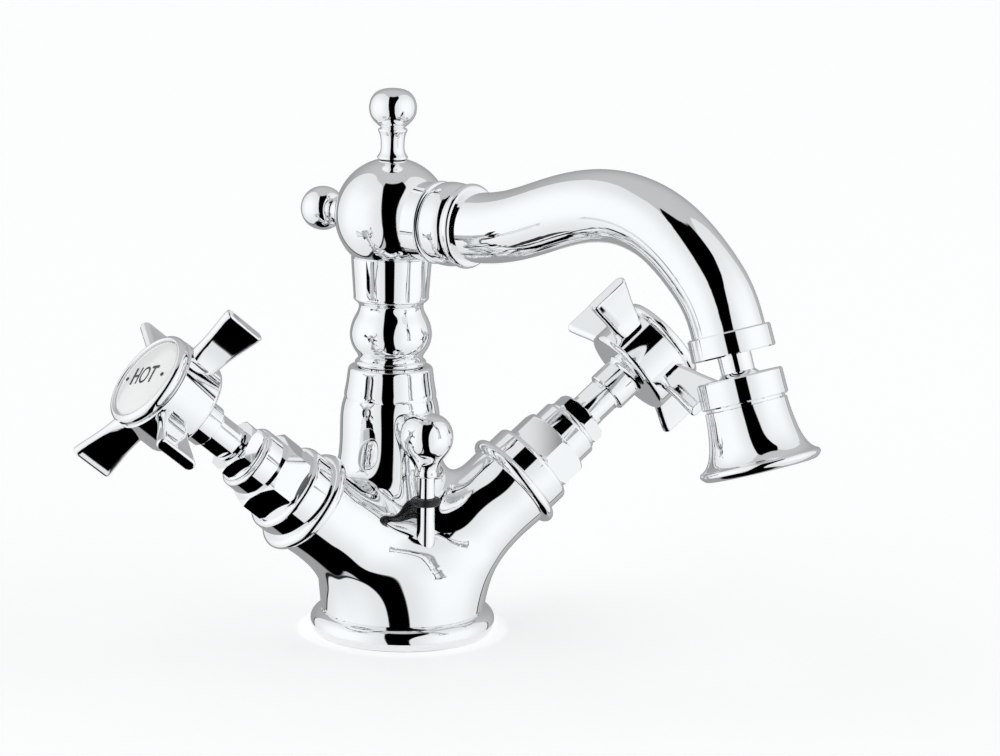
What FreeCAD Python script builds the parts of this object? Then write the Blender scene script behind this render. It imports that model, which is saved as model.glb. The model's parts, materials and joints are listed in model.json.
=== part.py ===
import FreeCAD, Part
import os
from math import cos, sin, radians, sqrt

os.makedirs("parts", exist_ok=True)
V = FreeCAD.Vector
Z = V(0, 0, 1)

# Driving dimensions in millimetres and degrees. The deck is the plane z = 0, the front of the mixer
# faces -Y, hot is on -X and cold on +X.
FLANGE_R, FLANGE_TOP = 27.0, 6.4
FOOT_R = 23.9
CROSS = V(0, -3.0, 14.3)                 # where the two valve axes meet
VALVE_RISE, VALVE_FORWARD = 39.6, 3.0    # slope of a valve axis above the deck, and its lean to the front
BRANCH_END = 41.7                        # end of a branch, measured along the valve axis from CROSS
BLEND_R, BLEND_LOW = 6.0, 26.6           # cast fillet where column and branches meet, above this height
COLUMN_Y = 9.95                          # axis of the column, behind the centre of the base
COLUMN_TOP = 66.9
COLUMN_BORE_R, PILLAR_R = 9.05, 9.0
HEAD_Z, HEAD_R = 120.8, 16.6
FINIAL_Z = 151.7
SPOUT_REST = 25.4                        # how far the spout stands turned towards cold
TUBE_R, TUBE_BORE = 10.0, 8.4
NOZZLE_TILT = 18.4                       # lean of the nozzle away from the column
NOZZLE_S, NOZZLE_Z = 116.6, 100.8        # top of the outlet collar in the plane of the spout
BALL_T, BALL_R, SEAT_R, SOCKET_R = 16.3, 7.0, 7.3, 8.9
STEM_R = 4.6
LIFT_Y, LIFT_R, LIFT_BORE = -14.93, 2.6, 2.65
LIFT_TAIL_R, LIFT_TAIL_TOP = 2.4, -14.0  # turned-down lower end of the lift rod, for the linkage clamp
INLET_X, INLET_Y, INLET_R = 9.5, -3.5, 4.5
STUD_Y, STUD_R, STUD_LOW = 12.5, 4.0, -60.0
STUD_NECK, STUD_NECK_R = -46.0, 3.6      # undercut that marks off the free end of the stud below the nut
DECK = 27.0                              # thickness of the deck that the fixing nut is drawn up to
HUB_R, ARM_REACH, ARM_MID = 14.4, 30.3, 98.1
HOT_REST, COLD_REST = -28.05, 20.33      # angle of the first arm from the uppermost direction


def edges_of(runs):
    """Edges through (r, z) points: a run marked 's' is one smooth curve, any other is straight lines."""
    edges, last = [], None
    for kind, points in runs:
        pts = [V(r, 0, z) for r, z in points]
        if last is not None:
            pts = [last] + pts
        if kind == "s":
            curve = Part.BSplineCurve()
            curve.interpolate(pts)
            edges.append(curve.toShape())
        else:
            edges += [Part.makeLine(a, b) for a, b in zip(pts, pts[1:])]
        last = pts[-1]
    return edges, last


def lathe(*runs):
    """Solid of revolution about Z, closed from the last point back to the first."""
    edges, last = edges_of(runs)
    first = edges[0].valueAt(edges[0].FirstParameter)
    if last.distanceToPoint(first) > 1e-6:
        edges.append(Part.makeLine(last, first))
    return Part.Face(Part.Wire(edges)).revolve(V(0, 0, 0), Z, 360)


def tube(r_in, r_out, z0, z1, chamfer=0.0):
    c = chamfer
    if c:
        return lathe(("l", [(r_in, z0), (r_out - c, z0), (r_out, z0 + c), (r_out, z1 - c),
                            (r_out - c, z1), (r_in, z1)]))
    return lathe(("l", [(r_in, z0), (r_out, z0), (r_out, z1), (r_in, z1)]))


def rod(r, z0, z1, x=0.0, y=0.0):
    return Part.makeCylinder(r, z1 - z0, V(x, y, z0), Z)


def drill(a, b, r):
    return Part.makeCylinder(r, (b - a).Length, a, b - a)


def ring(major, minor, z):
    return Part.makeTorus(major, minor, V(0, 0, z), Z)


def hexagon(across_flats, z0, z1, bevel):
    """Hexagonal prism with its corners turned off at both ends."""
    corner = across_flats / sqrt(3)
    points = [V(corner * cos(radians(60 * k)), corner * sin(radians(60 * k)), z0) for k in range(7)]
    prism = Part.Face(Part.makePolygon(points)).extrude(V(0, 0, z1 - z0))
    flat = across_flats / 2 + 0.2
    turned = lathe(("l", [(0, z0), (flat, z0), (corner + 0.1, z0 + bevel), (corner + 0.1, z1 - bevel),
                          (flat, z1), (0, z1)]))
    return prism.common(turned)


def place(shape, origin, axis, spin=0.0):
    """Move a shape so that its Z lies along axis and its X points as far up (or ahead) as it can."""
    n = V(axis).normalize()
    up = Z - n * n.dot(Z)
    u = V(up).normalize() if up.Length > 1e-6 else V(1, 0, 0)
    t = n.cross(u)
    m = FreeCAD.Matrix(u.x, t.x, n.x, origin.x, u.y, t.y, n.y, origin.y, u.z, t.z, n.z, origin.z, 0, 0, 0, 1)
    moved = shape.copy()
    moved.rotate(V(0, 0, 0), Z, spin)
    moved.Placement = FreeCAD.Placement(m).multiply(moved.Placement)
    return moved


def save(name, shape):
    solids = shape.Solids
    assert len(solids) == 1 and solids[0].isValid(), name
    solids[0].exportStep("parts/%s.step" % name)
    box = solids[0].BoundBox
    print("%-22s %8.0f mm3  x %.1f..%.1f  y %.1f..%.1f  z %.1f..%.1f"
          % (name, solids[0].Volume, box.XMin, box.XMax, box.YMin, box.YMax, box.ZMin, box.ZMax))


def valve_axis(side):
    a, b = radians(VALVE_RISE), radians(VALVE_FORWARD)
    return V(side * cos(a) * cos(b), -cos(a) * sin(b), sin(a))


# ---- body group ----

def junctions(body):
    """Edges where the column and the branches meet. A seam belongs to one face only, so it is left out."""
    found = []
    for edge in body.Edges:
        faces = body.ancestorsOfType(edge, Part.Face)
        curved = type(edge.Curve).__name__ == "BSplineCurve"
        if curved and len(faces) == 2 and edge.BoundBox.ZMin > BLEND_LOW:
            found.append(edge)
    return found


def mixer_body():
    foot = lathe(("l", [(0, 0), (21, 0), (21, FLANGE_TOP), (FOOT_R - 0.5, FLANGE_TOP)]),
                 ("s", [(FOOT_R - 0.2, 8.4), (24.6, 12), (25.5, 15), (25.8, 18), (24.6, 21.5), (20.6, 26),
                        (15, 29), (8, 30.5), (0, 31)]))
    column = lathe(("l", [(0, 12), (17.5, 12), (17.5, 38)]),
                   ("s", [(16.9, 42), (15.6, 47), (14.75, 53), (14.6, 60)]),
                   ("s", [(14.4, 64), (13.7, COLUMN_TOP)]), ("l", [(0, COLUMN_TOP)]))
    column.translate(V(0, COLUMN_Y, 0))
    body = foot.fuse(column)
    bores = []
    for side in (-1, 1):
        axis = valve_axis(side)
        branch = lathe(("l", [(0, 2), (15.2, 2)]),
                       ("s", [(16.0, 6), (15.2, 16), (14.2, 26), (13.7, 34), (13.8, BRANCH_END)]),
                       ("l", [(0, BRANCH_END)]))
        body = body.fuse(place(branch, CROSS, axis))
        bores += [place(rod(9.0, 25, BRANCH_END + 1), CROSS, axis), place(rod(3.0, 12.3, 26), CROSS, axis),
                  rod(INLET_R, -1, 22.1, side * INLET_X, INLET_Y),
                  drill(CROSS + axis * 29.0, V(0, COLUMN_Y, 43), 2.6)]
    body = body.removeSplitter()
    body = body.makeFillet(BLEND_R, junctions(body))
    bores += [rod(COLUMN_BORE_R, 44, 80, 0, COLUMN_Y), rod(6.5, 38, 46, 0, COLUMN_Y),
              rod(11.0, 61.4, 80, 0, COLUMN_Y), rod(LIFT_BORE, -1, 60, 0, LIFT_Y), rod(4.4, -1, 9, 0, LIFT_Y),
              rod(STUD_R, -1, 14, 0, STUD_Y)]
    for bore in bores:
        body = body.cut(bore)
    under = Part.makeBox(80, 80, 10, V(-40, -40, -10))
    return body.cut(under).removeSplitter()


def body_group():
    save("mixer_body", mixer_body())
    save("base_flange", lathe(
        ("l", [(21, 0), (22, 0), (22, 1.4), (24.6, 1.4), (24.6, 0), (26.0, 0)]),
        ("s", [(26.8, 1.4), (27.0, 3.0), (26.6, 4.6), (25.4, 5.9), (24.2, FLANGE_TOP)]),
        ("l", [(21, FLANGE_TOP)])))
    save("base_gasket", tube(22.05, 24.55, 0, 1.4))
    nut = lathe(("l", [(9.4, COLUMN_TOP), (13.3, COLUMN_TOP)]),
                ("s", [(13.45, 67.6), (13.2, 70), (12.5, 74.8), (12.1, 76.2), (11.4, 76.6)]),
                ("l", [(9.4, 76.6)]))
    nut.translate(V(0, COLUMN_Y, 0))
    save("column_ring", nut)
    washer = tube(9.35, 10.9, 65.6, 66.8)
    washer.translate(V(0, COLUMN_Y, 0))
    save("slip_washer", washer)
    bush = tube(LIFT_BORE, 4.4, 1, 9)
    bush.translate(V(0, LIFT_Y, 0))
    save("lift_bush", bush)
    stud = lathe(("l", [(0, STUD_LOW), (STUD_R - 0.6, STUD_LOW), (STUD_R, STUD_LOW + 0.6),
                        (STUD_R, STUD_NECK), (STUD_NECK_R, STUD_NECK), (STUD_NECK_R, STUD_NECK + 1),
                        (STUD_R, STUD_NECK + 1), (STUD_R, 13.5), (0, 13.5)]))
    stud.translate(V(0, STUD_Y, 0))
    save("fixing_stud", stud)
    rear_half = Part.makeBox(60, 24, 60, V(-30, 2.0, -45))
    mouth = Part.makeBox(9, 40, 20, V(-4.5, STUD_Y - 4.5, -45))
    for name, z0, z1, reach in (("rubber_horseshoe", -30, -DECK, 21.0), ("steel_horseshoe", -32, -30, 20.0)):
        save(name, rod(reach, z0, z1).common(rear_half).cut(mouth))
    fixing_nut = hexagon(13, -44, -32, 0.8).cut(rod(STUD_R, -45, -30))
    fixing_nut.translate(V(0, STUD_Y, 0))
    save("fixing_nut", fixing_nut)


# ---- the two valves and handles ----

def arm():
    """One arm of the cross along +X, a rounded slab lofted through sections at several radii."""
    wires = []
    for r, width, thick in ((6.0, 10.0, 9.0), (12.5, 9.9, 7.6), (15.5, 9.8, 4.9), (19.0, 10.2, 3.4),
                            (24.0, 11.6, 3.1), (ARM_REACH, 13.4, 3.7)):
        h, c = thick / 2, width / 2 - thick / 2
        top = Part.Arc(V(r, -h, c), V(r, 0, c + h), V(r, h, c)).toShape()
        low = Part.Arc(V(r, h, -c), V(r, 0, -c - h), V(r, -h, -c)).toShape()
        wires.append(Part.Wire([top, Part.makeLine(V(r, h, c), V(r, h, -c)), low,
                                Part.makeLine(V(r, -h, -c), V(r, -h, c))]))
    solid = Part.makeLoft(wires, True, False)
    tip = [e for e in solid.Edges if abs(e.BoundBox.XMin - ARM_REACH) < 1e-3 and e.BoundBox.XLength < 1e-3]
    solid = solid.makeFillet(0.6, tip)
    solid.translate(V(0, 0, ARM_MID))
    return solid


def handle():
    hub = lathe(("l", [(0, 81.95), (6.0, 81.95), (6.35, 82.3), (6.35, 88.8)]),
                ("s", [(6.9, 89.9), (8.2, 90.3)]), ("l", [(12.9, 90.3)]),
                ("s", [(14.0, 90.8), (HUB_R, 91.9)]),
                ("l", [(HUB_R, 103.0), (13.9, 103.3), (0, 103.3)]))
    for k in range(4):
        fin = arm()
        fin.rotate(V(0, 0, 0), Z, 90 * k)
        hub = hub.fuse(fin)
    hub = hub.cut(rod(3.95, 70, 94.6)).cut(rod(2.05, 90, 110)).cut(rod(11.4, 99.0, 110))
    return hub.removeSplitter()


def valve_group(prefix, side, rest):
    axis = valve_axis(side)

    def put(name, shape, spin=0.0):
        save(prefix + "_" + name, place(shape, CROSS, axis, spin))

    put("bead_ring", lathe(("l", [(9.3, BRANCH_END), (13.85, BRANCH_END)]),
                           ("s", [(15.1, 42.2), (15.75, 43.6), (15.1, 45.0), (13.85, 45.5)]),
                           ("l", [(9.3, 45.5)])))
    collar = lathe(("l", [(0, 45.5), (13.35, 45.5), (13.35, 50.9)]), ("s", [(13.1, 51.6), (12.3, 52.3)]),
                   ("l", [(0, 52.3)]))
    neck = lathe(("l", [(0, 60.8), (9.55, 60.8), (9.55, 66.4)]), ("s", [(9.4, 66.9), (8.8, 67.3)]),
                 ("l", [(0, 67.3)]))
    bonnet = tube(0, 8.95, 27.2, 46).fuse(collar).fuse(hexagon(21, 52.2, 61.2, 1.4)).fuse(neck)
    bonnet = bonnet.cut(rod(4.0, 20, 70)).cut(rod(7.0, 26, 33.6))
    for turn in (0, 180):
        window = Part.makeBox(6, 5, 3.2, V(5.5, -2.5, 29.6))
        window.rotate(V(0, 0, 0), Z, turn)
        bonnet = bonnet.cut(window)
    put("bonnet", bonnet, 12)
    put("seat_washer", tube(3.4, 6.8, 25, 27.2))
    disc = tube(0, 6.8, 27.2, 29.2)
    for turn in (0, 180):
        disc = disc.cut(rod(2.0, 27, 30, 3.4 * cos(radians(turn)), 0))
    put("fixed_disc", disc)
    moving = tube(0, 6.6, 29.22, 31.0)
    for turn in (90, 270):
        moving = moving.cut(rod(2.0, 29, 32, 0, 3.4 * sin(radians(turn))))
    put("moving_disc", moving)
    gland = hexagon(15.0, 68.3, 72.5, 0.9).fuse(
        lathe(("l", [(0, 67.3), (8.5, 67.3)]), ("s", [(8.6, 67.8), (8.0, 68.5)]), ("l", [(0, 68.5)])))
    put("gland_nut", gland.cut(rod(4.0, 60, 75)), 20)
    spindle = lathe(("l", [(0, 31.0), (6.5, 31.0), (6.5, 33.2), (3.95, 33.2), (3.95, 59.0), (2.9, 59.0),
                           (2.9, 61.0), (3.95, 61.0), (3.95, 72.9), (4.9, 72.9), (5.3, 73.3), (5.3, 81.9),
                           (3.9, 81.9), (3.9, 94.4), (0, 94.4)])).cut(rod(1.6, 84, 100))
    for k in range(3):
        flat = Part.makeBox(8, 3, 6.4, V(-4, 4.75, 74.6))
        flat.rotate(V(0, 0, 0), Z, 120 * k + 30)
        spindle = spindle.cut(flat)
    put("spindle", spindle, rest)
    put("stem_oring", ring(3.42, 0.5, 60.0))
    put("handle", handle(), rest)
    screw = lathe(("l", [(0, 84.5), (1.55, 84.5), (1.55, 99.0), (3.4, 99.0), (3.4, 100.2), (2.9, 100.8),
                         (0, 100.8)]))
    slot = Part.makeBox(3.6, 0.8, 1.0, V(-1.8, -0.4, 100.0))
    put("handle_screw", screw.cut(slot), rest)
    put("bezel", lathe(("l", [(12.3, 103.32), (13.2, 103.32), (13.75, 103.7)]),
                       ("s", [(14.25, 104.5), (14.2, 105.6), (13.55, 106.5), (12.8, 106.75), (12.3, 106.4)])))
    put("index_disc", lathe(("l", [(0, 103.5), (12.1, 103.5), (12.25, 103.8), (12.25, 105.3)]),
                            ("s", [(12.0, 105.85), (11.2, 106.2), (8.0, 106.7), (4.0, 107.0), (0, 107.1)])))


# ---- spout group: built with the spout along +X, then turned to its resting direction ----

def to_spout(shape):
    moved = shape.copy()
    moved.rotate(V(0, 0, 0), Z, SPOUT_REST - 90)
    moved.translate(V(0, COLUMN_Y, 0))
    return moved


def nozzle_frame():
    a = radians(NOZZLE_TILT)
    return V(NOZZLE_S, 0, NOZZLE_Z), V(sin(a), 0, -cos(a))


def to_nozzle(shape):
    origin, axis = nozzle_frame()
    return to_spout(place(shape, origin, axis))


def spout_tube():
    _, axis = nozzle_frame()
    points = [V(29.9, 0, 120.2), V(46.5, 0, 122.8), V(63.0, 0, 128.4), V(80.0, 0, 130.5), V(96.0, 0, 125.5),
              V(109.0, 0, 114.3), V(NOZZLE_S, 0, NOZZLE_Z)]
    path = Part.BSplineCurve()
    path.interpolate(Points=points, InitialTangent=V(1, 0, 0), FinalTangent=axis)
    wire = Part.Wire([path.toShape()])
    pipes = []
    for r in (TUBE_R, TUBE_BORE):
        circle = Part.Wire([Part.makeCircle(r, points[0], V(1, 0, 0))])
        pipes.append(wire.makePipeShell([circle], True, False))
    return pipes[0].cut(pipes[1])


def spout_group():
    pillar = lathe(("l", [(5.4, 46.5), (PILLAR_R, 46.5), (PILLAR_R, 48.6), (7.6, 48.6), (7.6, 50.8),
                          (PILLAR_R, 50.8), (PILLAR_R, 54.6), (7.6, 54.6), (7.6, 56.8), (PILLAR_R, 56.8),
                          (PILLAR_R, 61.6), (10.7, 61.6), (10.7, 65.5), (PILLAR_R, 65.5),
                          (PILLAR_R, 76.9), (10.0, 76.9)]),
                   ("s", [(10.45, 77.6), (10.0, 78.4)]), ("l", [(9.5, 78.6)]),
                   ("s", [(9.5, 79.4), (10.6, 81.4), (11.6, 83.6), (11.95, 85.9), (11.6, 88.4), (10.6, 91.0),
                          (9.6, 93.0), (9.4, 94.4)]),
                   ("s", [(9.7, 95.2), (10.5, 95.9), (10.95, 97.2)]), ("l", [(11.75, 108.6), (5.4, 108.6)]))
    pillar.translate(V(0, COLUMN_Y, 0))
    save("pillar", pillar)
    for name, z in (("lower_oring", 49.7), ("upper_oring", 55.7)):
        seal = tube(7.65, 8.98, z - 1.0, z + 1.0, 0.35)
        seal.translate(V(0, COLUMN_Y, 0))
        save(name, seal)
    side_centre = V(0, 0, HEAD_Z - 0.5)
    head = Part.makeSphere(HEAD_R, V(0, 0, HEAD_Z))
    head = head.fuse(Part.makeCylinder(11.3, 16.8, side_centre, V(1, 0, 0)))
    for bore in (Part.makeBox(60, 60, 20, V(-30, -30, 88.6)), Part.makeSphere(12.6, V(0, 0, HEAD_Z)),
                 rod(5.4, 100, 115), rod(2.5, 128, 140), Part.makeCylinder(7.0, 30, side_centre, V(1, 0, 0)),
                 Part.makeCylinder(2.5, 30, side_centre, V(-1, 0, 0))):
        head = head.cut(bore)
    save("head", to_spout(head))
    finial = lathe(("l", [(0, 132.8), (2.5, 132.8), (2.5, 137.1), (4.2, 137.1)]),
                   ("s", [(4.45, 137.6), (4.1, 138.2), (3.6, 139.2), (3.42, 141.4), (3.7, 143.8),
                          (4.1, 144.9)]),
                   ("s", [(4.25, 145.4), (3.9, 145.9)]), ("l", [(3.4, 146.1)]),
                   ("s", [(4.6, 147.1), (6.3, 149.2), (6.88, 151.6), (6.4, 154.2), (4.6, 156.4),
                          (2.2, 157.25), (0, 157.4)]))
    finial.translate(V(0, COLUMN_Y, 0))
    save("finial", finial)
    knob = lathe(("l", [(0, 12.9), (2.5, 12.9), (2.5, 16.7), (4.4, 16.7)]),
                 ("s", [(4.2, 17.4), (3.7, 18.6), (3.6, 19.8), (4.0, 20.7)]), ("l", [(3.5, 21.2)]),
                 ("s", [(5.2, 22.5), (6.3, 24.8), (6.45, 27.0), (5.6, 29.8), (3.6, 31.8), (1.6, 32.6),
                        (0, 32.7)]))
    save("rear_knob", to_spout(place(knob, side_centre, V(-1, 0, 0))))
    ferrule = lathe(("l", [(7.0, 16.8), (11.5, 16.8)]),
                    ("s", [(11.9, 17.3), (11.6, 18.0)]), ("l", [(11.0, 18.3)]),
                    ("s", [(11.6, 19.3), (12.0, 22.0), (11.7, 24.8), (10.9, 26.3)]),
                    ("l", [(10.7, 27.0), (11.3, 27.3)]),
                    ("s", [(11.9, 27.7), (12.1, 28.6), (11.8, 29.4), (11.2, 29.9)]),
                    ("l", [(TUBE_BORE, 29.9), (TUBE_BORE, 26.0), (7.0, 24.5)]))
    save("ferrule", to_spout(place(ferrule, side_centre, V(1, 0, 0))))
    save("spout_tube", to_spout(spout_tube()))
    save("outlet_collar", to_nozzle(lathe(("l", [(STEM_R, 0.0), (11.0, 0.0), (11.35, 0.4), (11.45, 5.9),
                                                (11.1, 6.3), (STEM_R, 6.3)]))))
    ball = Part.makeSphere(BALL_R, V(0, 0, BALL_T)).fuse(rod(STEM_R, 0.0, BALL_T)).cut(rod(2.5, -1, 30))
    ball = ball.cut(rod(20, BALL_T + 5.2, BALL_T + 20))
    save("ball_stem", to_nozzle(ball))


def nozzle_group():
    seat = tube(0, 20, 18.7, 21.3).common(Part.makeSphere(8.6, V(0, 0, BALL_T))).cut(
        Part.makeSphere(SEAT_R, V(0, 0, BALL_T)))
    save("ball_seat", to_nozzle(seat))
    housing = lathe(("l", [(0, 12.15), (11.3, 12.15), (11.7, 12.6), (11.8, 18.9), (11.4, 19.3), (10.7, 19.3),
                           (10.7, 19.9), (9.8, 19.9), (9.8, 26), (8.4, 26), (8.4, BALL_T), (0, BALL_T)]))
    housing = housing.cut(Part.makeSphere(SEAT_R, V(0, 0, BALL_T)))
    cavity = Part.makeSphere(SOCKET_R, V(0, 0, BALL_T)).common(rod(20, BALL_T, 40))
    save("nozzle_housing", to_nozzle(housing.cut(cavity)))
    save("bell", to_nozzle(lathe(
        ("l", [(9.8, 19.9), (10.9, 19.9), (11.2, 20.2)]),
        ("s", [(11.35, 23.0), (11.7, 26.0), (12.3, 29.4), (13.4, 32.6), (14.6, 34.4), (15.6, 35.2)]),
        ("s", [(16.3, 35.7), (16.45, 36.4), (16.0, 37.1), (14.9, 37.9), (14.3, 38.0)]),
        ("l", [(13.6, 38.0)]),
        ("s", [(12.9, 36.6), (11.2, 33.6), (10.2, 31.0), (9.8, 29.4)]),
        ("l", [(8.7, 29.0), (8.7, 28.5), (9.8, 28.5)]))))
    save("aerator_washer", to_nozzle(tube(8.45, 9.75, 26.0, 27.0)))
    aerator = lathe(("l", [(0, 23.0), (8.0, 23.0), (8.3, 23.3), (8.3, 27.0), (9.75, 27.0), (9.75, 28.5),
                           (8.6, 28.5), (8.6, 31.6), (8.2, 32.0), (0, 32.0)]))
    for r, count in ((0.0, 1), (3.2, 6), (6.2, 12)):
        for k in range(count):
            a = radians(360.0 * k / count)
            aerator = aerator.cut(rod(0.8, 20, 35, r * cos(a), r * sin(a)))
    save("aerator", to_nozzle(aerator))


def lift_group():
    low = -60.0
    stem = lathe(("l", [(0, low), (LIFT_TAIL_R - 0.4, low), (LIFT_TAIL_R, low + 0.4),
                        (LIFT_TAIL_R, LIFT_TAIL_TOP), (LIFT_R, LIFT_TAIL_TOP), (LIFT_R, 40.2), (2.1, 40.2),
                        (2.1, 42.2), (LIFT_R, 42.2), (LIFT_R, 48.7), (2.0, 48.7), (2.0, 55.0), (0, 55.0)]))
    stem.translate(V(0, LIFT_Y, 0))
    save("lift_rod", stem)
    seal = ring(3.25, 1.15, 41.2).cut(rod(2.6, 38, 44))
    seal.translate(V(0, LIFT_Y, 0))
    save("lift_oring", seal)
    knob = lathe(("l", [(2.0, 48.7), (3.3, 48.7)]),
                 ("s", [(3.5, 49.3), (3.3, 50.2), (3.5, 51.6), (4.9, 53.9), (6.9, 56.8), (7.64, 59.8),
                        (7.1, 63.0), (5.0, 65.7), (2.4, 66.7), (0, 66.9)]), ("l", [(0, 55.0), (2.0, 55.0)]))
    knob.translate(V(0, LIFT_Y, 0))
    save("lift_knob", knob)


body_group()
valve_group("hot", -1, HOT_REST)
valve_group("cold", 1, COLD_REST)
spout_group()
nozzle_group()
lift_group()
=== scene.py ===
import json
from math import cos, pi, radians, sin

import bmesh
import bpy
import numpy as np
from mathutils import Matrix, Vector

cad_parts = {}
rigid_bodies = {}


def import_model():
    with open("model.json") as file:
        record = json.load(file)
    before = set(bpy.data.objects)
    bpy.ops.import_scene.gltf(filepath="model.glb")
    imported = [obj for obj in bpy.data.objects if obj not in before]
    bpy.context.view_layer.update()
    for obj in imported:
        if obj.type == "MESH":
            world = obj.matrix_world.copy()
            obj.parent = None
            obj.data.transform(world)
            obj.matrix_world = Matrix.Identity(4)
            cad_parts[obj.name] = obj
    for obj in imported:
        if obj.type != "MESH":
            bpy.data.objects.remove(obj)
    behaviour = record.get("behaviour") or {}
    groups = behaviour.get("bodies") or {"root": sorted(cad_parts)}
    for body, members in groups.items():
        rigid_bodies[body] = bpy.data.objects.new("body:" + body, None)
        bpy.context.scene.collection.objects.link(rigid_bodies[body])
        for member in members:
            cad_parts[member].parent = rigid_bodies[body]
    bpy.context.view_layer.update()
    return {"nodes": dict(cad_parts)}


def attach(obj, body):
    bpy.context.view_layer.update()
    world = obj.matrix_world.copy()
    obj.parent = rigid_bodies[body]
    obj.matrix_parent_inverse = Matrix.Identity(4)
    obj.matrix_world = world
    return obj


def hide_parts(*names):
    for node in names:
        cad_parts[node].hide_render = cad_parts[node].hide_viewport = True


MM = 0.001                              # the profiles below are in millimetres, the scene is in metres
FLOOR_SIZE, FLOOR_GLOW = 20, 0.42
MAT_RADIUS, MAT_LIFT = 31 * MM, 0.1 * MM  # the part of the floor that the chrome reflects

# Camera: a long lens, left of the front, looking a little down.
CAMERA_AZ, CAMERA_YAW, CAMERA_PITCH, CAMERA_ROLL = 25.233, 1.916, 11.034, 0.976
CAMERA_HEIGHT, CAMERA_DISTANCE, CAMERA_LENS = 235.1 * MM, 821.3 * MM, 104.21
SENSOR_WIDTH, CLIP_NEAR, CLIP_FAR = 36, 0.05, 40

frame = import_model()
nodes = frame["nodes"]


# ---- camera ----

def make_camera():
    data = bpy.data.cameras.new("camera")
    data.lens = CAMERA_LENS
    data.sensor_width = SENSOR_WIDTH
    data.clip_start, data.clip_end = CLIP_NEAR, CLIP_FAR
    camera = bpy.data.objects.new("camera", data)
    bpy.context.scene.collection.objects.link(camera)
    az = radians(CAMERA_AZ)
    look, pitch = az + radians(CAMERA_YAW), radians(CAMERA_PITCH)
    ahead = Vector((sin(look) * cos(pitch), cos(look) * cos(pitch), -sin(pitch)))
    right = ahead.cross(Vector((0, 0, 1))).normalized()
    up = right.cross(ahead)
    roll = radians(CAMERA_ROLL)
    right, up = right * cos(roll) + up * sin(roll), up * cos(roll) - right * sin(roll)
    turn = Matrix((right, up, -ahead)).transposed().to_4x4()
    spot = Vector((-sin(az) * CAMERA_DISTANCE, -cos(az) * CAMERA_DISTANCE, CAMERA_HEIGHT))
    camera.matrix_world = Matrix.Translation(spot) @ turn
    bpy.context.scene.camera = camera


# ---- materials ----

def material(name):
    mat = bpy.data.materials.new(name)
    mat.use_nodes = True
    return mat, mat.node_tree.nodes, mat.node_tree.links, mat.node_tree.nodes["Principled BSDF"]


# slot: two colours, metallic, lowest and highest roughness, grain per metre, bump height in metres
FINISHES = {
    "chrome": ((0.93, 0.94, 0.95), (0.90, 0.91, 0.92), 1.0, 0.02, 0.045, 90, 0.000002),
    "brass": ((0.78, 0.60, 0.30), (0.62, 0.45, 0.20), 1.0, 0.22, 0.38, 900, 0.00003),
    "steel": ((0.60, 0.61, 0.62), (0.46, 0.47, 0.48), 1.0, 0.28, 0.45, 1200, 0.00003),
    "rubber": ((0.006, 0.006, 0.006), (0.012, 0.012, 0.012), 0.0, 0.30, 0.50, 1500, 0.00003),
    "enamel": ((0.96, 0.965, 0.96), (0.92, 0.925, 0.92), 0.0, 0.06, 0.12, 250, 0.000004),
    "ink": ((0.035, 0.037, 0.04), (0.06, 0.06, 0.065), 0.0, 0.30, 0.45, 1500, 0.00001),
    "ceramic": ((0.86, 0.83, 0.76), (0.78, 0.75, 0.68), 0.0, 0.10, 0.22, 700, 0.00001),
    "plastic": ((0.80, 0.80, 0.77), (0.72, 0.72, 0.69), 0.0, 0.35, 0.55, 1100, 0.00002)}
# the enamel discs glow a little: painted light that makes them brighter than the lighting does
ENAMEL_COAT, ENAMEL_PAINTED_GLOW = 0.6, 0.14
BROAD_SHARE, NOISE_DETAIL = 6, 4         # the slow noise is this many times coarser than the grain
COLOUR_STOPS, WEAR_SPAN, BUMP_STRENGTH = (0.35, 0.65), (0.3, 0.7), 0.5


def finish_material(name, light, dark, metallic, smooth, rough, grain, height):
    """Procedural finish: slow colour variation, patchy roughness and a fine relief, all from noise."""
    mat, nds, links, bsdf = material(name)
    bsdf.inputs["Metallic"].default_value = metallic
    place = nds.new("ShaderNodeTexCoord")
    broad, fine = nds.new("ShaderNodeTexNoise"), nds.new("ShaderNodeTexNoise")
    broad.inputs["Scale"].default_value = grain / BROAD_SHARE
    fine.inputs["Scale"].default_value = grain
    for noise in (broad, fine):
        noise.inputs["Detail"].default_value = NOISE_DETAIL
        links.new(place.outputs["Object"], noise.inputs["Vector"])
    colour = nds.new("ShaderNodeValToRGB")
    for stop, position, shade in zip(colour.color_ramp.elements, COLOUR_STOPS, (light, dark)):
        stop.position = position
        stop.color = (*shade, 1)
    links.new(broad.outputs["Fac"], colour.inputs["Fac"])
    links.new(colour.outputs["Color"], bsdf.inputs["Base Color"])
    wear = nds.new("ShaderNodeMapRange")
    wear.inputs["From Min"].default_value, wear.inputs["From Max"].default_value = WEAR_SPAN
    wear.inputs["To Min"].default_value, wear.inputs["To Max"].default_value = smooth, rough
    links.new(broad.outputs["Fac"], wear.inputs["Value"])
    links.new(wear.outputs["Result"], bsdf.inputs["Roughness"])
    bump = nds.new("ShaderNodeBump")
    bump.inputs["Distance"].default_value = height
    bump.inputs["Strength"].default_value = BUMP_STRENGTH
    links.new(fine.outputs["Fac"], bump.inputs["Height"])
    links.new(bump.outputs["Normal"], bsdf.inputs["Normal"])
    # painted light: a white emission makes the enamel index discs glow brighter than their lighting
    if name == "enamel":
        bsdf.inputs["Coat Weight"].default_value = ENAMEL_COAT
        bsdf.inputs["Emission Color"].default_value = (1, 1, 1, 1)
        bsdf.inputs["Emission Strength"].default_value = ENAMEL_PAINTED_GLOW
    return mat


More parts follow.
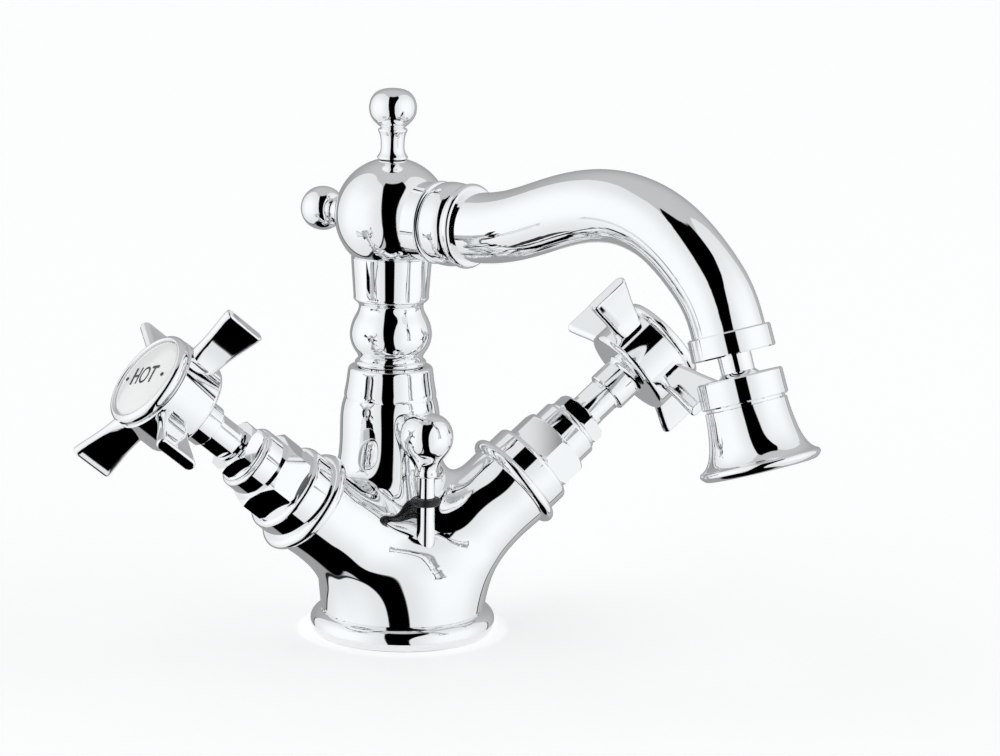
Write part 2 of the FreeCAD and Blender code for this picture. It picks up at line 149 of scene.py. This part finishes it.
# material slot of the nodes that aren't chrome
SLOTS = {
    "rubber": ("base_gasket", "rubber_horseshoe", "lower_oring", "upper_oring", "lift_oring", "aerator_washer",
               "hot_stem_oring", "cold_stem_oring", "hot_seat_washer", "cold_seat_washer"),
    "enamel": ("hot_index_disc", "cold_index_disc"),
    "ceramic": ("hot_fixed_disc", "hot_moving_disc", "cold_fixed_disc", "cold_moving_disc"),
    "plastic": ("slip_washer", "lift_bush", "ball_seat", "aerator"),
    "steel": ("fixing_stud", "steel_horseshoe", "hot_handle_screw", "cold_handle_screw"),
    "brass": ("fixing_nut",)}


# ---- studio: two curved white screens with a dark gap between them, under a grey ceiling ----
# Azimuth is 0 towards the front (-Y) and +90 towards +X; elevation is 0 at the horizon. Both in degrees.
WHITE, CEILING, REAR, PALE = 1.05, 0.56, 0.36, 0.95   # brightness; PALE is what the camera sees directly
ZENITH_GAIN, RIM_SHADE, OUTLINE_DEPTH = 1.04, 0.80, 0.95
WARMTH = (0.985, 1.005)                  # share of red and of blue against green
SCREENS = ((-104, 62), (44, 62))         # middle and half width of the left and the right screen
SCREEN_TOP, SCREEN_LOW, CORNER = 68.0, -62.0, 3.6     # CORNER is the power that rounds the screens' corners
REAR_SPAN, CEILING_SPAN = (95, 150), (40, 90)
GAP_LEFT = ((-90, -60), (-67, -60), (-60, -46), (-35, -43), (-10, -44.5), (15, -47), (40, -50.5), (52, -54),
            (65, -60), (90, -60))
GAP_RIGHT = ((-90, 20), (-67, 20), (-60, 6), (-47, -6), (-35, -12), (-10, -16.5), (15, -15), (27, -11), (40, -3),
             (52, 12), (62, 30), (90, 30))
EDGE, GAP_TOP, NADIR = 1.2, (73, 71), (-62, -66)


class Graph:
    """Small helper that strings math nodes together."""

    def __init__(self, tree):
        self.tree = tree

    def math(self, operation, *values, clamp=False):
        node = self.tree.nodes.new("ShaderNodeMath")
        node.operation, node.use_clamp = operation, clamp
        for socket, value in zip(node.inputs, values):
            self.feed(socket, value)
        return node.outputs[0]

    def feed(self, socket, value):
        if isinstance(value, bpy.types.NodeSocket):
            self.tree.links.new(value, socket)
        else:
            socket.default_value = value

    def step(self, value, low, high):
        """0 below low, 1 above high, smooth between."""
        node = self.tree.nodes.new("ShaderNodeMapRange")
        node.interpolation_type = "SMOOTHSTEP"
        self.feed(node.inputs["Value"], value)
        self.feed(node.inputs["From Min"], low)
        self.feed(node.inputs["From Max"], high)
        return node.outputs[0]

    def curve(self, value, points):
        """Degrees in, degrees out, through (in, out) points."""
        node = self.tree.nodes.new("ShaderNodeFloatCurve")
        line = node.mapping.curves[0]
        for k, (x, y) in enumerate(points):
            spot = ((x + 90) / 180, (y + 180) / 360)
            if k < 2:
                line.points[k].location = spot
            else:
                line.points.new(*spot)
        node.mapping.update()
        self.feed(node.inputs["Value"], self.math("MULTIPLY_ADD", value, 1 / 180, 0.5))
        return self.math("MULTIPLY_ADD", node.outputs[0], 360, -180)

    def mix(self, factor, a, b):
        node = self.tree.nodes.new("ShaderNodeMix")
        self.feed(node.inputs["Factor"], factor)
        self.feed(node.inputs["A"], a)
        self.feed(node.inputs["B"], b)
        return node.outputs["Result"]


def screen_shape(g, az, el, mid, half):
    """Distance from a screen's middle as a share of its size, with rounded corners: 1 at its rim."""
    across = g.math("POWER", g.math("ABSOLUTE", g.math("MULTIPLY_ADD", az, 1 / half, -mid / half)), CORNER)
    high = (SCREEN_TOP - SCREEN_LOW) / 2
    middle = (SCREEN_TOP + SCREEN_LOW) / 2
    up = g.math("POWER", g.math("ABSOLUTE", g.math("MULTIPLY_ADD", el, 1 / high, -middle / high)), CORNER)
    return g.math("POWER", g.math("ADD", across, up), 1 / CORNER)


def make_world():
    world = bpy.data.worlds.new("studio")
    bpy.context.scene.world = world
    world.use_nodes = True
    tree = world.node_tree
    g = Graph(tree)
    place = tree.nodes.new("ShaderNodeTexCoord")
    split = tree.nodes.new("ShaderNodeSeparateXYZ")
    tree.links.new(place.outputs["Generated"], split.inputs[0])
    x, y, z = split.outputs
    az = g.math("DEGREES", g.math("ARCTAN2", x, g.math("MULTIPLY", y, -1)))
    el = g.math("DEGREES", g.math("ARCSINE", z))
    left_rim, right_rim = g.curve(el, GAP_LEFT), g.curve(el, GAP_RIGHT)
    from_left = g.math("SUBTRACT", az, left_rim)
    from_right = g.math("SUBTRACT", right_rim, az)
    light = g.mix(g.step(el, *CEILING_SPAN), CEILING, CEILING * ZENITH_GAIN)
    back = g.step(g.math("ABSOLUTE", az), *REAR_SPAN)
    light = g.mix(g.math("MULTIPLY", back, g.step(el, 60, 0)), light, REAR)
    for (mid, half), rim in zip(SCREENS, (from_left, from_right)):
        size = screen_shape(g, az, el, mid, half)
        inside = g.step(size, 1.0, 0.975)
        outline = g.math("MULTIPLY", g.step(size, 1.05, 1.03), g.step(el, 20, -10))
        glow = g.mix(g.step(size, 0.2, 0.97), WHITE, WHITE * RIM_SHADE)
        past = g.step(rim, EDGE, -EDGE)
        light = g.mix(g.math("MULTIPLY", outline, OUTLINE_DEPTH), light, 0.0)
        light = g.mix(g.math("MULTIPLY", inside, past), light, glow)
    gap = g.math("MULTIPLY", g.step(from_left, -EDGE, EDGE), g.step(from_right, -EDGE, EDGE))
    gap = g.math("MULTIPLY", gap, g.step(el, *GAP_TOP))
    gap = g.math("MAXIMUM", gap, g.step(el, *NADIR))
    light = g.mix(gap, light, 0.0)
    path = tree.nodes.new("ShaderNodeLightPath")
    light = g.mix(path.outputs["Is Camera Ray"], light, PALE)
    tint = tree.nodes.new("ShaderNodeCombineColor")
    g.feed(tint.inputs[0], g.math("MULTIPLY", light, WARMTH[0]))
    g.feed(tint.inputs[1], light)
    g.feed(tint.inputs[2], g.math("MULTIPLY", light, WARMTH[1]))
    background = tree.nodes["Background"]
    tree.links.new(tint.outputs[0], background.inputs["Color"])


def make_floor():
    """Pale floor that the chrome doesn't reflect, and a small disc under the foot that only reflections see."""
    bpy.ops.mesh.primitive_plane_add(size=FLOOR_SIZE)
    floor = bpy.context.object
    floor.name = "floor"
    mat, nds, links, bsdf = material("floor")
    bsdf.inputs["Base Color"].default_value = (0.9, 0.9, 0.9, 1)
    bsdf.inputs["Roughness"].default_value = 0.6
    bsdf.inputs["Emission Color"].default_value = (1, 1, 1, 1)
    bsdf.inputs["Emission Strength"].default_value = FLOOR_GLOW
    floor.data.materials.append(mat)
    floor.visible_glossy = False
    bpy.ops.mesh.primitive_circle_add(vertices=96, radius=MAT_RADIUS, fill_type="NGON", location=(0, 0, MAT_LIFT))
    mat_disc = bpy.context.object
    mat_disc.name = "floor_under_foot"
    mat_disc.data.materials.append(mat)
    mat_disc.visible_camera = mat_disc.visible_diffuse = mat_disc.visible_shadow = False


# ---- cast body: foot, column and two branches melted into one smooth form ----
# A line is the profile of one of them, as (place along its axis, radius) points.
FOOT_LINE = ((5.8, 22.9), (9.0, 22.8), (13.0, 22.6), (17.0, 21.9), (21.0, 20.0), (25.5, 15.8), (29.0, 10.5),
             (31.0, 5.0))
COLUMN_LINE = ((5.8, 14.0), (9.0, 15.2), (13.0, 16.4), (19.0, 17.3), (26.0, 17.5), (38.0, 17.4), (42.0, 16.9),
               (47.0, 15.6), (53.0, 14.75), (60.0, 14.6), (64.0, 14.3), (66.9, 13.6), (68.5, 13.0))
BRANCH_LINE = ((0.0, 14.4), (8.0, 14.2), (16.0, 13.9), (26.0, 13.7), (34.0, 13.3), (41.7, 13.6), (44.0, 13.6))
PLUG_R, PLUG_LOW, PLUG_TOP = 20.9, 0.4, 9.0            # the part of the foot inside the flange
COLUMN_Y, CROSS_Y, CROSS_Z = 9.95, -3.0, 14.3
VALVE_RISE, VALVE_FORWARD = 39.6, 3.0                  # degrees above the deck and towards the front
MELT_BRANCHES, MELT_COLUMN, MELT_FOOT = 14.0, 12.0, 17.0
FOOT_TOUCH, COLUMN_END, BRANCH_END = 6.3, 68.2, 43.7   # beyond these the flat ends are kept as they are
BODY_GRAIN, PASSES, SLOPE_REACH = 0.8, 6, 0.01
FLATTEST, LONGEST_MOVE = 0.2, 1.5                      # limits that keep a pass from overshooting
ON_FORM, LEAST_SLOPE = 0.03, 0.3
INLET_X, INLET_Y, LIFT_Y, STUD_Y = 9.5, -3.5, -14.93, 12.5
COLUMN_BORE = ((44, 9.05), (61.4, 9.05), (61.4, 11.0), (80, 11.0))
VALVE_BORE, INLET_BORE = ((25, 9.0), (50, 9.0)), ((-1, 4.5), (22.0, 4.5))
LIFT_BORE, STUD_BORE = ((-1, 2.65), (60, 2.65)), ((-1, 4.05), (13.5, 4.05))


def spline(points):
    """Natural cubic spline through (t, r) points; returns a function of an array."""
    t, r = np.array(points, float).T
    h = np.diff(t)
    matrix = np.eye(len(t))
    right = np.zeros(len(t))
    for k in range(1, len(t) - 1):
        matrix[k, k - 1:k + 2] = h[k - 1], 2 * (h[k - 1] + h[k]), h[k]
        right[k] = 6 * ((r[k + 1] - r[k]) / h[k] - (r[k] - r[k - 1]) / h[k - 1])
    bend = np.linalg.solve(matrix, right)

    def value(at):
        at = np.clip(at, t[0], t[-1])
        k = np.clip(np.searchsorted(t, at) - 1, 0, len(h) - 1)
        a, b, w = t[k + 1] - at, at - t[k], h[k]
        return (bend[k] * a ** 3 + bend[k + 1] * b ** 3) / (6 * w) + (r[k] / w - bend[k] * w / 6) * a \
            + (r[k + 1] / w - bend[k + 1] * w / 6) * b
    return value


BRANCH_RADIUS, COLUMN_RADIUS, FOOT_RADIUS = spline(BRANCH_LINE), spline(COLUMN_LINE), spline(FOOT_LINE)


def axis_distance(points, origin, axis, radius, end=100.0):
    """Signed distance to a solid of revolution with a spline radius, rounded off at the origin and at its end."""
    away = points - origin
    along = away @ axis
    across = np.linalg.norm(away - np.outer(np.clip(along, 0, end), axis), axis=1)
    return across - radius(along)


def melt(a, b, reach):
    """Smooth union of two distances; reach is how far from the junction they begin to merge."""
    h = np.maximum(reach - np.abs(a - b), 0) / reach
    return np.minimum(a, b) - h ** 3 * reach / 6


def valve_axis(side):
    rise, forward = radians(VALVE_RISE), radians(VALVE_FORWARD)
    return np.array((side * cos(rise) * cos(forward), -cos(rise) * sin(forward), sin(rise)))


def body_distance(points):
    cross, up = np.array((0, CROSS_Y, CROSS_Z)), np.array((0, 0, 1.0))
    hot, cold = (axis_distance(points, cross, valve_axis(side), BRANCH_RADIUS) for side in (-1, 1))
    column = axis_distance(points, np.array((0, COLUMN_Y, 0)), up, COLUMN_RADIUS)
    foot = axis_distance(points, np.zeros(3), up, FOOT_RADIUS, FOOT_LINE[-1][0] - FOOT_LINE[-1][1])
    return melt(melt(melt(hot, cold, MELT_BRANCHES), column, MELT_COLUMN), foot, MELT_FOOT)


def body_slope(points):
    return np.stack([(body_distance(points + step) - body_distance(points - step)) / (2 * SLOPE_REACH)
                     for step in np.eye(3) * SLOPE_REACH], axis=1)


def smooth_normals(mesh):
    """Vertices that lie on the melted form take its exact normal, the others keep their own."""
    points, normals = np.empty(len(mesh.vertices) * 3), np.empty(len(mesh.vertices) * 3)
    mesh.vertices.foreach_get("co", points)
    mesh.vertices.foreach_get("normal", normals)
    points, normals = points.reshape(-1, 3), normals.reshape(-1, 3)
    slope = body_slope(points)
    length = np.linalg.norm(slope, axis=1)
    on_form = (np.abs(body_distance(points)) < ON_FORM) & (points[:, 2] > FOOT_TOUCH) & (length > LEAST_SLOPE)
    normals[on_form] = slope[on_form] / length[on_form][:, None]
    mesh.normals_split_custom_set_from_vertices([tuple(n) for n in normals])


def lathe(bm, line, origin, axis, turns=96):
    """Closed mesh of revolution about an axis, from (position, radius) points."""
    frame_axis = Vector(axis).to_track_quat("Z", "Y")
    rings = []
    for t, r in line:
        ring = []
        for k in range(turns):
            angle = 2 * pi * k / turns
            spot = frame_axis @ Vector((r * cos(angle), r * sin(angle), t))
            ring.append(bm.verts.new(spot + Vector(origin)))
        rings.append(ring)
    for low, high in zip(rings, rings[1:]):
        for k in range(turns):
            n = (k + 1) % turns
            bm.faces.new((low[k], low[n], high[n], high[k]))
    bm.faces.new(rings[0][::-1])
    bm.faces.new(rings[-1])


def apply_modifiers(obj):
    depsgraph = bpy.context.evaluated_depsgraph_get()
    mesh = bpy.data.meshes.new_from_object(obj.evaluated_get(depsgraph))
    obj.modifiers.clear()
    obj.data = mesh


def cut_bores(body):
    """Bores for the pillar, the lift rod, the stud, both valves and the two inlets, cut in one pass."""
    cross, up = (0, CROSS_Y, CROSS_Z), (0, 0, 1)
    bores = [(COLUMN_BORE, (0, COLUMN_Y, 0), up), (LIFT_BORE, (0, LIFT_Y, 0), up),
             (STUD_BORE, (0, STUD_Y, 0), up)]
    for side in (-1, 1):
        bores.append((VALVE_BORE, cross, valve_axis(side)))
        bores.append((INLET_BORE, (side * INLET_X, INLET_Y, 0), up))
    cutters = bpy.data.collections.new("cutters")
    for line, origin, axis in bores:
        bm = bmesh.new()
        lathe(bm, line, origin, axis)
        bmesh.ops.recalc_face_normals(bm, faces=bm.faces)
        mesh = bpy.data.meshes.new("cutter")
        bm.to_mesh(mesh)
        cutters.objects.link(bpy.data.objects.new("cutter", mesh))
    cut = body.modifiers.new("bores", "BOOLEAN")
    cut.operation, cut.solver, cut.operand_type, cut.collection = "DIFFERENCE", "EXACT", "COLLECTION", cutters
    apply_modifiers(body)
    for cutter in list(cutters.objects):
        bpy.data.objects.remove(cutter)
    bpy.data.collections.remove(cutters)


def make_body():
    """A skin is drawn over the plain turned forms, then each vertex is moved onto the melted surface."""
    bm = bmesh.new()
    cross, up = (0, CROSS_Y, CROSS_Z), (0, 0, 1)
    for side in (-1, 1):
        lathe(bm, BRANCH_LINE, cross, valve_axis(side))
    lathe(bm, COLUMN_LINE, (0, COLUMN_Y, 0), up)
    lathe(bm, FOOT_LINE, (0, 0, 0), up)
    lathe(bm, ((PLUG_LOW, PLUG_R), (PLUG_TOP, PLUG_R)), (0, 0, 0), up)
    mesh = bpy.data.meshes.new("mixer_casting")
    bm.to_mesh(mesh)
    body = bpy.data.objects.new("mixer_casting", mesh)
    bpy.context.scene.collection.objects.link(body)
    remesh = body.modifiers.new("skin", "REMESH")
    remesh.mode, remesh.voxel_size = "VOXEL", BODY_GRAIN
    apply_modifiers(body)
    mesh = body.data
    points = np.empty(len(mesh.vertices) * 3)
    mesh.vertices.foreach_get("co", points)
    points = points.reshape(-1, 3)
    ends = (points[:, 2] < FOOT_TOUCH) | (points[:, 2] > COLUMN_END)
    for side in (-1, 1):
        ends |= (points - np.array(cross)) @ valve_axis(side) > BRANCH_END
    for _ in range(PASSES):
        value, slope = body_distance(points), body_slope(points)
        move = -slope * (value / np.maximum((slope ** 2).sum(1), FLATTEST))[:, None]
        length = np.linalg.norm(move, axis=1)[:, None]
        move *= np.minimum(1, LONGEST_MOVE / np.maximum(length, 1e-9))
        points[~ends] += move[~ends]
    mesh.vertices.foreach_set("co", points.ravel())
    mesh.update()
    cut_bores(body)
    body.data.polygons.foreach_set("use_smooth", [True] * len(body.data.polygons))
    smooth_normals(body.data)
    body.data.transform(Matrix.Scale(MM, 4))
    body.data.materials.append(finishes["chrome"])
    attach(body, "base")
    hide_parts("mixer_body")


# ---- generic lettering on the index discs ----
DISC_TOP, LETTER_DEPTH, LETTER_SIZE, LETTER_TALL = 106.95, 0.2, 5.2, 1.5
DOT_AT, DOT_LINE, DOT_TURNS = 8.4, ((-0.6, 0.6), (-0.15, 0.6), (-0.05, 0.5)), 24
MARKS = ((-1, "hot", "HOT", 18.0), (1, "cold", "COLD", -18.0))     # side, prefix, word, turn in degrees


def add_dots(mesh):
    """A dot on either side of the word; the dome is lower there, so the dots reach further down."""
    bm = bmesh.new()
    bm.from_mesh(mesh)
    for side in (-1, 1):
        lathe(bm, DOT_LINE, (side * DOT_AT, 0, 0), (0, 0, 1), DOT_TURNS)
    bmesh.ops.recalc_face_normals(bm, faces=bm.faces)
    bm.to_mesh(mesh)
    bm.free()


def as_mesh(obj):
    """Replaces a text object by a mesh object of the same name."""
    name = obj.name
    mesh = bpy.data.meshes.new_from_object(obj.evaluated_get(bpy.context.evaluated_depsgraph_get()))
    bpy.data.objects.remove(obj)
    solid = bpy.data.objects.new(name, mesh)
    bpy.context.scene.collection.objects.link(solid)
    return solid


def make_lettering():
    """The word for each handle, as thin raised letters let into the top of its domed disc."""
    for side, prefix, word, turn in MARKS:
        curve = bpy.data.curves.new(prefix + "_word", "FONT")
        curve.body, curve.size, curve.extrude = word, LETTER_SIZE, LETTER_DEPTH
        curve.align_x, curve.align_y = "CENTER", "CENTER"
        label = bpy.data.objects.new(prefix + "_lettering", curve)
        bpy.context.scene.collection.objects.link(label)
        label = as_mesh(label)
        label.data.transform(Matrix.Diagonal((1, LETTER_TALL, 1, 1)))
        add_dots(label.data)
        axis = Vector(valve_axis(side))
        top = (Vector((0, 0, 1)) - axis * axis.z).normalized()
        right = top.cross(axis)
        turned = Matrix((right, top, axis)).transposed().to_4x4() @ Matrix.Rotation(radians(turn), 4, "Z")
        origin = Vector((0, CROSS_Y, CROSS_Z)) + axis * DISC_TOP
        label.data.transform(Matrix.Scale(MM, 4) @ Matrix.Translation(origin) @ turned)
        label.data.materials.clear()
        label.data.materials.append(finishes["ink"])
        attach(label, prefix + "_handle")


make_camera()
make_world()
make_floor()
finishes = {name: finish_material(name, *values) for name, values in FINISHES.items()}
slot_of = {name: slot for slot, names in SLOTS.items() for name in names}
for name, obj in nodes.items():
    obj.data.materials.clear()
    obj.data.materials.append(finishes[slot_of.get(name, "chrome")])
make_body()
make_lettering()

scene = bpy.context.scene
scene.view_settings.view_transform = "Standard"
